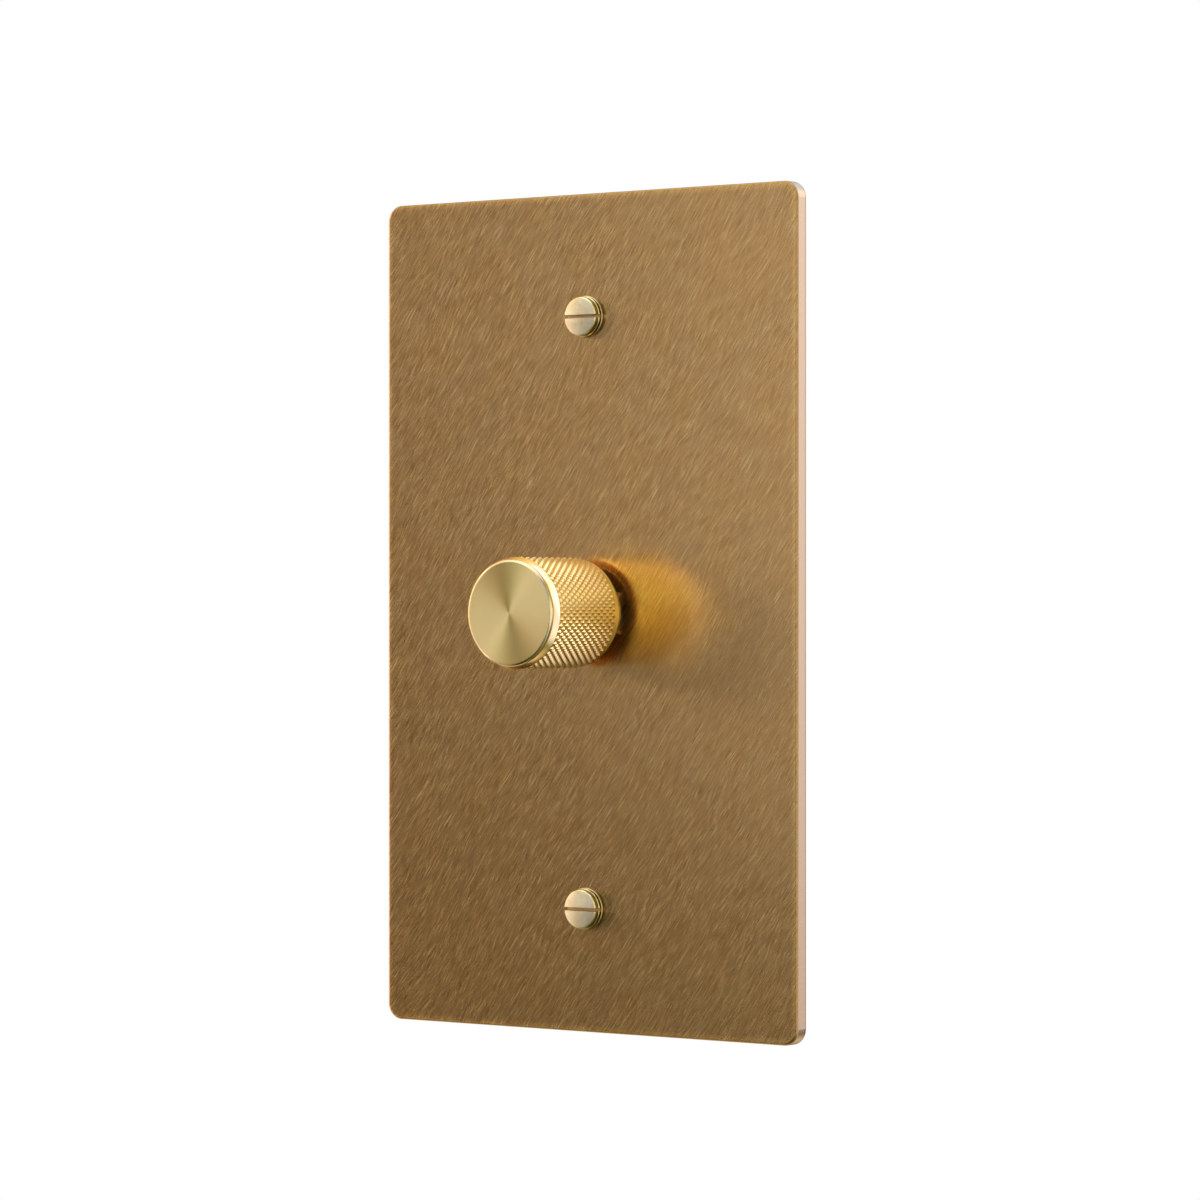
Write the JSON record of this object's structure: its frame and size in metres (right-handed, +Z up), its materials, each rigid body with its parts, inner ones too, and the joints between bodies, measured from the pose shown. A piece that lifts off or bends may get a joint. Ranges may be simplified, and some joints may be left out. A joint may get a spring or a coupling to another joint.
{
  "type": "rotary dimmer switch",
  "caption": "Flat rectangular metal wall plate with a knurled turned knob that turns to dim and pushes to switch, slotted fixing screws, and a dimmer module behind.",
  "frame": {"origin": "centre of the wall plate's rear face, on the wall plane, on the knob's axis", "axes": "+X right for a person facing the plate, +Y into the wall along the knob's axis, +Z up"},
  "size_m": [0.072, 0.0442, 0.118],
  "materials": {
    "plate": "smoked bronze, hand brushed",
    "knob_brass": "turned and knurled, satin lacquer",
    "screw_brass": "satin, lightly worn",
    "steel": "zinc plated",
    "spring_steel": "drawn spring wire",
    "nickel": "nickel plated brass",
    "aluminium": "plain sheet",
    "housing_plastic": "moulded, fine spark texture",
    "black_plastic": "moulded",
    "cream_plastic": "moulded acetal",
    "phenolic": "laminate with printed carbon track",
    "board": "fibreglass laminate, solder mask",
    "pad": "silicone sheet",
    "ferrite": "iron powder ring, painted",
    "copper": "enamelled copper wire",
    "contact": "stamped contact strip",
    "film_cap": "potted box",
    "can_cap": "shrink sleeve",
    "fuse_plastic": "moulded",
    "resistor": "chip resistor",
    "terminal_brass": "machined"
  },
  "bodies": {
    "base": {"wall_plate": "plate", "plate_screws": "screw_brass", "pot_bush": "nickel", "bush_washer": "steel", "bush_nut": "nickel", "pot_case": "black_plastic", "resistor_track": "phenolic", "pot_pins": "contact", "switch_body": "black_plastic", "fixed_contacts": "contact", "return_spring": "spring_steel", "heat_sink": "aluminium", "housing": "housing_plastic", "housing_screws": "steel", "circuit_board": "board", "triac": "black_plastic", "triac_pad": "pad", "triac_screw": "steel", "choke_core": "ferrite", "choke_winding": "copper", "filter_capacitor": "film_cap", "smoothing_capacitor": "can_cap", "fuse": "fuse_plastic", "control_chip": "black_plastic", "board_resistors": "resistor", "terminal_blocks": "terminal_brass", "terminal_screws": "steel", "earth_stud": "steel", "earth_washer": "steel", "earth_nut": "steel"},
    "wiper_rotor": {"wiper_carrier": "cream_plastic", "wiper_contact": "contact"},
    "knob_and_shaft": {"knob": "knob_brass", "knob_set_screw": "steel", "pot_shaft": "aluminium", "shaft_clip": "steel"},
    "plunger": {"switch_plunger": "cream_plastic", "moving_contact": "contact"}
  },
  "joints": [
    {"name": "knob_turn", "type": "hinge", "parent": "base", "child": "wiper_rotor", "pos_m": [0, 0, 0], "axis": [0, 1, 0], "range_deg": [0, 300]},
    {"name": "knob_push", "type": "slide", "parent": "wiper_rotor", "child": "knob_and_shaft", "axis": [0, 1, 0], "range_m": [0, 0.0015], "stiffness_N_per_m": 1300, "springref_m": -0.0015},
    {"name": "plunger_slide", "type": "slide", "parent": "base", "child": "plunger", "axis": [0, 1, 0], "range_m": [0, 0.0015], "deforming": ["return_spring"]}
  ],
  "couplings": [
    {"joint": "plunger_slide", "follows": "knob_push", "ratio": 1}
  ]
}
